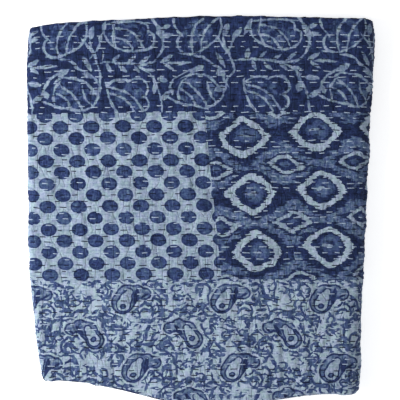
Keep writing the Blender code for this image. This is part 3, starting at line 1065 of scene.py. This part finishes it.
# %% Charts of the paisley's filling
CURLS = (
    ((24, 2), (21, -14), 4),
    ((31, -11), (40, -30), 5),
    ((18, -27), (35, -23), 5),
    ((39, 27), (64, -10), 9),
    ((43, -2), (55, -15), 4),
    ((-38, 22), (-34, 2), 6),
    ((-44, -16), (-30, -34), -4),
    ((-62, 20), (-50, 26), 5),
    ((-50, 26), (-52, 12), 5),
    ((-2, 34), (20, 33), 4),
    ((-66, -34), (-44, -42), 4),
    ((50, -36), (72, -30), -4),
)
CURL_LEAVES = (
    (12, -6, 6, 3, 80),
    (60, 6, 8, 3, -60),
    (30, -38, 12, 2.4, -4),
    (58, -22, 10, 3, 5),
    (-46, 6, 7, 3, 70),
    (-28, 30, 8, 3, -20),
    (-58, -24, 8, 3, 40),
    (-20, -36, 10, 2.4, 10),
)
BODY_SOFTNESS, DROP_SOFTNESS = 9.0, 6.0
LINE_WIDTH, CURL_WIDTH, SPRIG_WIDTH = 4.6, 3.6, 3.2
CURL_SPACING, SPRIG_SPACING = 0.028, 0.026
BODY_LOW, BODY_HIGH = -40.0, 10.0
BODY_BANDS = ((BODY_LOW, 0.46), (-8.0, 0.6), (-3.2, 0.22), (0.0, 0.88))
SMALL_CURL = (((-8.0, -3.0), (6.6, 0.0), 4.4), ((6.6, 0.0), (3.0, -7.0), 1.6))
SMALL_BUD = ((-3.4, -6.6, 4.6, 1.7, 20),)
SMALL_SPRIG = (((-9.0, 0.5), (8.4, -1.2), 2.4),)
SMALL_SPRIG_LEAVES = ((2.2, 4.0, 4.4, 1.8, 50), (-3.0, -3.6, 4.2, 1.8, -130))
print("strokes round a paisley:", len(CURLS) + len(CURL_LEAVES))

# %% Both paisleys
paisley, _, paisley_out = new_group("paisley print", [], "Paleness")
place = print_place(paisley, ragged=0.0013, ragged_size=0.007)
bodies, drops, fillings, eyes, marks = [], [], [], [], []
for plan in PAISLEYS:
    origin = (PAISLEY_ORIGIN[0] + plan["from_first"][0], PAISLEY_ORIGIN[1] + plan["from_first"][1])
    local, _ = repeat(paisley, place, origin, PAISLEY_STEP, PAISLEY_ROW_STEP)
    local = add(paisley, "VectorMath", local, (plan["facing"], 1, 1), operation="MULTIPLY")
    bodies.append(melted(paisley, local, plan["lumps"], BODY_SOFTNESS))
    drops.append(melted(paisley, local, plan["drop"], DROP_SOFTNESS))
    fillings.append(drawn(paisley, local, CURLS, CURL_LEAVES, LINE_WIDTH))
    eyes.append(oval_distance(paisley, local, *plan["eye"]))
    marks.append(nearest_of(paisley, [oval_distance(paisley, local, *row) for row in plan["marks"]]))
body, drop, filling, eye, mark = (nearest_of(paisley, pair) for pair in (bodies, drops, fillings, eyes, marks))
print("paisley print:", len(paisley.nodes), "nodes so far")


# %% Small curls and sprigs, scattered between them
def scattered(tree, place, spacing, shift):
    """Places measured from the middles of scattered cells, and turned another way in each cell."""
    moved = add(tree, "VectorMath", place, (shift, shift, 0), operation="ADD")
    cells = add(tree, "TexVoronoi", moved, 1 / spacing, voronoi_dimensions="2D")
    local = add(tree, "VectorMath", moved, cells.outputs["Position"], operation="SUBTRACT")
    chance_colour = add(tree, "SeparateXYZ", cells.outputs["Color"])
    angle = add(tree, "Math", chance_colour.outputs["X"], 2 * math.pi, operation="MULTIPLY")
    return add(tree, "VectorRotate", local, (0, 0, 0), angle, rotation_type="Z_AXIS")


at_curls = scattered(paisley, place, CURL_SPACING, 0.0)
at_sprigs = scattered(paisley, place, SPRIG_SPACING, 4.0)
small_curls = drawn(paisley, at_curls, SMALL_CURL, SMALL_BUD, CURL_WIDTH)
small_sprigs = drawn(paisley, at_sprigs, SMALL_SPRIG, SMALL_SPRIG_LEAVES, SPRIG_WIDTH)
scribble = stretched_noise(paisley, place, (60, 120), 0.6, 0.5, 2.0, 1.3)
print("paisley print:", len(paisley.nodes), "nodes so far")

# %% The finished paisley print
patchy = add(paisley, "TexNoise", place, 85.0, 2.0, 0.6)
edge = add(paisley, "MapRange", patchy, 0.35, 0.65, -0.0009, 0.0009)
strokes = nearest_of(paisley, [filling, small_curls, small_sprigs])
past_stroke = add(paisley, "Math", strokes, edge, operation="SUBTRACT")
in_stroke = add(paisley, "MapRange", past_stroke, 0.0005, -0.0005)
in_scribble = add(paisley, "MapRange", scribble, 0.63, 0.655)
drawn_on = add(paisley, "Math", in_stroke, in_scribble, operation="MAXIMUM")
ink = add(paisley, "MapRange", patchy, 0.35, 0.65, 0.18, 0.5)
between = add(paisley, "MapRange", patchy, 0.35, 0.65, 1.0, 0.86)
ground = add(paisley, "Mix", drawn_on, between, ink, data_type="FLOAT")
contours = banded(paisley, body, BODY_BANDS, BODY_LOW, BODY_HIGH)
smeared = add(paisley, "MapRange", patchy, 0.35, 0.65, -0.16, 0.16)
contours = add(paisley, "Math", contours, smeared, operation="ADD")
in_mark = add(paisley, "MapRange", mark, 0.0004, -0.0004)
contours = add(paisley, "Mix", in_mark, contours, 0.12, data_type="FLOAT")
in_drop = add(paisley, "MapRange", drop, 0.5, -0.5)
round_drop = add(paisley, "MapRange", drop, 2.6, 1.8)
contours = add(paisley, "Mix", round_drop, contours, 0.16, data_type="FLOAT")
contours = add(paisley, "Mix", in_drop, contours, 0.86, data_type="FLOAT")
round_eye = add(paisley, "MapRange", eye, 0.0004, -0.0004)
in_eye = add(paisley, "MapRange", eye, -0.0018, -0.0026)
contours = add(paisley, "Mix", round_eye, contours, 0.14, data_type="FLOAT")
contours = add(paisley, "Mix", in_eye, contours, 0.46, data_type="FLOAT")
line_past = add(paisley, "MapRange", patchy, 0.4, 0.6, 1.2, 3.6)
in_body = add(paisley, "Math", body, line_past, operation="LESS_THAN")
tone = add(paisley, "Mix", in_body, ground, contours, data_type="FLOAT")
paisley.links.new(tone.outputs[0], paisley_out.inputs["Paleness"])
print("paisley print:", len(paisley.nodes), "nodes")

# %% [markdown]
# ## The leaf and vine print
#
# Pale lines on deep indigo: large veined leaves and buds in two rows, and vines with small pale leaves that
# run between and round them. In life these lines are a clay or wax resist that keeps the dye off. Buds and
# leaves stand in columns of their own, so each has a chart of its own, and the two columns take turns
# across the cloth. Near the left side two impressions of the block meet, and the printer set the second one
# down a little too near. Past the middle the lower row slipped a little to the left.

# %% The chart of a column of buds
VINE_STEP = (0.249, 0.004)
VINE_ROW_STEP = (0.007, -0.187)
BUD_COLUMN = (-0.2463, 0.2430)
LEAF_COLUMN = (-0.1178, 0.2475)
BLOCK_JOIN = {"x": -0.1675, "moved": 0.021}
LOW_ROW = {"starts_y": 0.243, "full_y": 0.222}
SLIPS = (
    {"from_x": -0.095, "to_x": -0.045, "moved": 0.0155},
    {"from_x": 0.13, "to_x": 0.19, "moved": -0.0105},
)
VINE_LINE_WIDTH = 4.2
BUD_LINES = (
    ((-48, 82), (-35, 54), -4),
    ((-35, 54), (-26, 23), -12),
    ((-34, 23), (-3, 28), -3),
    ((-3, 28), (28, 53), -3),
    ((28, 53), (29, 85), -4),
    ((2, 83), (-17, 26), -10),
    ((26, 82), (-3, 29), -8),
    ((26, 48), (54, -34), 10),
    ((37, 43), (43, 28), -1),
    ((53, 45), (43, 28), 1),
    ((-10, 18), (19, 2), 5),
    ((19, 2), (54, -27), 4),
    ((-7, 0), (-45, -46), -9),
    ((-20, -18), (2, -14), 4),
    ((2, -14), (42, -32), 5),
    ((-16, -22), (-24, -54), -5),
    ((-40, -54), (2, -65), -3),
    ((2, -65), (34, -66), -4),
    ((34, -66), (51, -36), -6),
    ((-10, -27), (21, -65), 4),
    ((-20, -39), (1, -61), 4),
    ((25, -31), (37, -57), -3),
)
BUD_LEAVES = (
    (40, 63, 13, 5.5, 75),
    (59, 57, 13, 5.5, 55),
    (-60, 53, 11, 4.5, 15),
    (-39, 7, 24, 3, 0),
    (-60, 14, 13, 4.5, 28),
    (-57, 0, 11, 3.5, -35),
    (31, 12, 16, 4.5, -60),
    (-9, -3, 13, 6, 25),
    (-58, -22, 13, 4.5, -10),
    (-52, -48, 13, 5.5, 35),
    (-38, -41, 8, 5, -70),
    (34, -10, 12, 4.5, -25),
    (46, -37, 10, 6.5, 20),
)
print("strokes in the bud column:", len(BUD_LINES) + len(BUD_LEAVES))

# %% The chart of a column of leaves
LEAF_LINES = (
    ((-30, 75), (19, 76), 2),
    ((19, 76), (28, 61), 4),
    ((28, 61), (30, 32), 11),
    ((30, 32), (-26, 35), 6),
    ((-26, 35), (-47, 61), 5),
    ((-30, 74), (-24, 35), -4),
    ((-26, 66), (19, 35), 9),
    ((-28, 51), (3, 28), 6),
    ((34, 82), (54, 39), 4),
    ((54, 39), (34, 7), 4),
    ((-55, 8), (0, 6), 1),
    ((0, 5), (34, 8), -2),
    ((15, -1), (45, -26), 3),
    ((47, -27), (60, -71), 3),
    ((-40, -29), (-5, -25), 7),
    ((-5, -25), (30, -33), 8),
    ((30, -33), (19, -52), 5),
    ((19, -52), (19, -76), 12),
    ((-42, -33), (-24, -78), -3),
    ((-38, -33), (19, -73), 8),
    ((-34, -45), (3, -73), 5),
)
LEAF_LEAVES = (
    (-51, 63, 17, 5.5, 65),
    (49, 58, 17, 6, -66),
    (59, 66, 10, 4, 25),
    (-1, 13, 11, 3.6, 42),
    (22, 13, 13, 3.6, 38),
    (10, -4, 10, 3.2, -48),
    (32, -6, 9, 3.6, -10),
    (46, -37, 11, 5.5, 75),
    (-51, 19, 11, 4.5, 80),
    (-40, -1, 10, 3.8, -60),
    (-26, 15, 11, 3.6, 48),
    (-15, -3, 11, 3.6, -42),
)
SMEARED_INSIDES = (
    {"column": "buds", "ovals": ((-8, 54, 28, 26, 75), (5, -42, 38, 22, -10))},
    {"column": "leaves", "ovals": ((-4, 54, 40, 20, -5), (-5, -50, 34, 22, -20))},
)
print("strokes in the leaf column:", len(LEAF_LINES) + len(LEAF_LEAVES))

# %% The leaf and vine print
vine, _, vine_out = new_group("leaf and vine print", [], "Paleness")
place = print_place(vine, ragged=0.0014, ragged_size=0.006)
by_hand = add(vine, "TexNoise", place, 30.0, 1.0, 0.5)
place = strayed(vine, place, by_hand, (0.007, 0.007))
along = add(vine, "SeparateXYZ", place)
before_join = add(vine, "Math", along.outputs["X"], BLOCK_JOIN["x"], operation="LESS_THAN")
in_low_row = add(
    vine, "MapRange", along.outputs["Y"], LOW_ROW["starts_y"], LOW_ROW["full_y"], interpolation_type="SMOOTHSTEP"
)
slip = 0.0
for plan in SLIPS:
    slipped = add(vine, "MapRange", along.outputs["X"], plan["from_x"], plan["to_x"], 0.0, plan["moved"])
    slip = add(vine, "Math", slipped, slip, operation="ADD")
slip = add(vine, "Math", slip, in_low_row, operation="MULTIPLY")
slip = add(vine, "Math", before_join, -BLOCK_JOIN["moved"], slip, operation="MULTIPLY_ADD")
slipped = add(vine, "VectorMath", (1, 0, 0), slip, operation="SCALE")
place = add(vine, "VectorMath", place, slipped, operation="ADD")
at_buds, _ = repeat(vine, place, BUD_COLUMN, VINE_STEP, VINE_ROW_STEP)
at_leaves, _ = repeat(vine, place, LEAF_COLUMN, VINE_STEP, VINE_ROW_STEP)
bud_strokes = drawn(vine, at_buds, BUD_LINES, BUD_LEAVES, VINE_LINE_WIDTH)
leaf_strokes = drawn(vine, at_leaves, LEAF_LINES, LEAF_LEAVES, VINE_LINE_WIDTH)
strokes = add(vine, "Math", bud_strokes, leaf_strokes, operation="MINIMUM")
insides = [
    oval_distance(vine, local, *row)
    for local, plan in zip((at_buds, at_leaves), SMEARED_INSIDES)
    for row in plan["ovals"]
]
inside = add(vine, "Math", nearest_of(vine, insides), 0.0, operation="LESS_THAN")
blotches = add(vine, "TexNoise", place, 70.0, 3.0, 0.65)
smear = add(vine, "MapRange", blotches, 0.42, 0.62, 0.08, 0.52)
outside = add(vine, "MapRange", blotches, 0.35, 0.75, 0.04, 0.24)
ground = add(vine, "Mix", inside, outside, smear, data_type="FLOAT")
edge = add(vine, "MapRange", blotches, 0.35, 0.65, -0.0009, 0.0007)
past_edge = add(vine, "Math", strokes, edge, operation="SUBTRACT")
in_stroke = add(vine, "MapRange", past_edge, 0.0006, -0.0006)
pale = add(vine, "MapRange", blotches, 0.3, 0.65, 0.58, 0.88)
tone = add(vine, "Mix", in_stroke, ground, pale, data_type="FLOAT")
vine.links.new(tone.outputs[0], vine_out.inputs["Paleness"])
print("leaf and vine print:", len(vine.nodes), "nodes")

# %% [markdown]
# ## Washed cotton
#
# The cloth is plain-woven cotton, washed many times: matt, with a faint bloom of loose fibres, and never
# quite one colour, because warp and weft take the dye unevenly. Its threads are about 0.4 mm apart, too
# fine to show from here, so the weave is drawn at 2.6 mm. Sewing and washing leave fine upright wrinkles,
# smaller than the cloth's own points, which are drawn as bump. The same finish serves all four prints.

# %% Cotton for each print
WEAVE_PITCH = 0.0026
THREAD_SLUB = 0.12
WRINKLES_PER_METRE, WRINKLE_HALF_WIDTH = (34, 11), 0.034
TINTS = ("#f2fbf1", "#fcf6ff")
WASHED_COTTON = {
    "Roughness": 0.93,
    "Specular IOR Level": 0.12,
    "Sheen Weight": 0.04,
    "Sheen Roughness": 0.6,
}


def printed_cotton(name, group):
    """Matt, washed cotton that carries one of the prints."""
    cotton, tree, shader = new_material(name, WASHED_COTTON)
    place = add(tree, "UVMap", uv_map="print")
    warp = stretched_noise(tree, place, (1 / WEAVE_PITCH, THREAD_SLUB / WEAVE_PITCH), 2.0, 0.6)
    weft = stretched_noise(tree, place, (THREAD_SLUB / WEAVE_PITCH, 1 / WEAVE_PITCH), 2.0, 0.6)
    threads = add(tree, "Math", warp, weft, operation="ADD")
    mottle = add(tree, "TexNoise", place, 260.0, 2.0, 0.6)
    wash = add(tree, "TexNoise", place, 16.0, 3.0, 0.55)
    tone = add(tree, "Group", node_tree=group)
    for unevenness, weight, mean in ((threads, 0.44, 1.0), (mottle, 0.4, 0.5), (wash, 0.26, 0.5)):
        shift = add(tree, "Math", unevenness, weight, -weight * mean, operation="MULTIPLY_ADD")
        tone = add(tree, "Math", tone, shift, operation="ADD")
    dyed = add(tree, "Group", tone, node_tree=dye)
    age = add(tree, "TexNoise", place, 110.0, 1.0, 0.5)
    aged = add(tree, "MapRange", age, 0.36, 0.64, 0.0, 1.0)
    tint = add(tree, "Mix", aged, *map(linear, TINTS), data_type="RGBA")
    colour = add(tree, "Mix", 1.0, dyed, tint, data_type="RGBA", blend_type="MULTIPLY")
    tree.links.new(result(colour), shader.inputs["Base Color"])
    crumple = add(tree, "TexNoise", place, 230.0, 3.0, 0.6)
    height = add(tree, "Math", threads, 0.35, crumple, operation="MULTIPLY_ADD")
    upright = stretched_noise(tree, place, WRINKLES_PER_METRE, 2.0, 0.6)
    from_mean = add(tree, "Math", upright, 0.5, operation="SUBTRACT")
    off_wrinkle = add(tree, "Math", from_mean, operation="ABSOLUTE")
    wrinkle = add(
        tree, "MapRange", off_wrinkle, 0.0, WRINKLE_HALF_WIDTH, -1.0, 0.0, interpolation_type="SMOOTHSTEP"
    )
    height = add(tree, "Math", height, wrinkle, operation="ADD")
    bump = add(tree, "Bump", 0.8, 0.0011, None, height)
    tree.links.new(bump.outputs["Normal"], shader.inputs["Normal"])
    return cotton


for name, group in zip(PRINTS, (vine, dots, ikat, paisley)):
    quilt.data.materials.append(printed_cotton(f"block printed cotton, {name}", group))
print("cottons:", [material.name for material in quilt.data.materials])

# %% [markdown]
# ## Thread
#
# The rows are sewn in soft two-ply cotton, white or navy. It is a little smoother than the cloth, so it
# catches the light. Its twist is drawn along the stitch as slanting bands, two to a millimetre in life and
# one here: bump, with painted shade between the plies.

# %% Both threads
TWIST_PITCH = 0.001
THREADS = (
    {"name": "white cotton thread", "colour": "#a9b9cf"},
    {"name": "navy cotton thread", "colour": "#161d33"},
)
SOFT_THREAD = {"Roughness": 0.8, "Specular IOR Level": 0.12}
# How much the painted shade darkens the thread in the grooves between its plies.
PLY_GROOVE_PAINTED_SHADE = 0.82


def sewing_thread(name, colour):
    """Soft two-ply cotton thread in one colour, with painted shade between its plies."""
    cotton, tree, shader = new_material(name, SOFT_THREAD)
    on_thread = add(tree, "SeparateXYZ", add(tree, "UVMap", uv_map="thread"))
    along, around_it = on_thread.outputs["X"], on_thread.outputs["Y"]
    turns = add(tree, "Math", along, 2 * math.pi / TWIST_PITCH, around_it, operation="MULTIPLY_ADD")
    ply = add(tree, "Math", turns, operation="SINE")
    shade = add(tree, "MapRange", ply, -1.0, 1.0, 0.0, 1.0)
    # Painted shade: the thread's colour is darkened in the grooves between its twisted plies.
    painted_groove_colour = (*(PLY_GROOVE_PAINTED_SHADE * c for c in linear(colour)[:3]), 1.0)
    tint = add(tree, "Mix", shade, painted_groove_colour, linear(colour), data_type="RGBA")
    tree.links.new(result(tint), shader.inputs["Base Color"])
    bump = add(tree, "Bump", 0.6, 0.0002, None, ply)
    tree.links.new(bump.outputs["Normal"], shader.inputs["Normal"])
    return cotton


for thread_plan in THREADS:
    thread_material = sewing_thread(**thread_plan)
    stitches_top.data.materials.append(thread_material)
    stitches_under.data.materials.append(thread_material)
print("threads:", [material.name for material in stitches_top.data.materials])

# %% [markdown]
# ## Hand over
#
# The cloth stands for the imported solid, and the stitches go with it.

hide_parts("quilt")
for piece in (quilt, stitches_top, stitches_under):
    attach(piece, "root")
print("triangles of the cloth:", sum(len(face.vertices) - 2 for face in quilt.data.polygons))
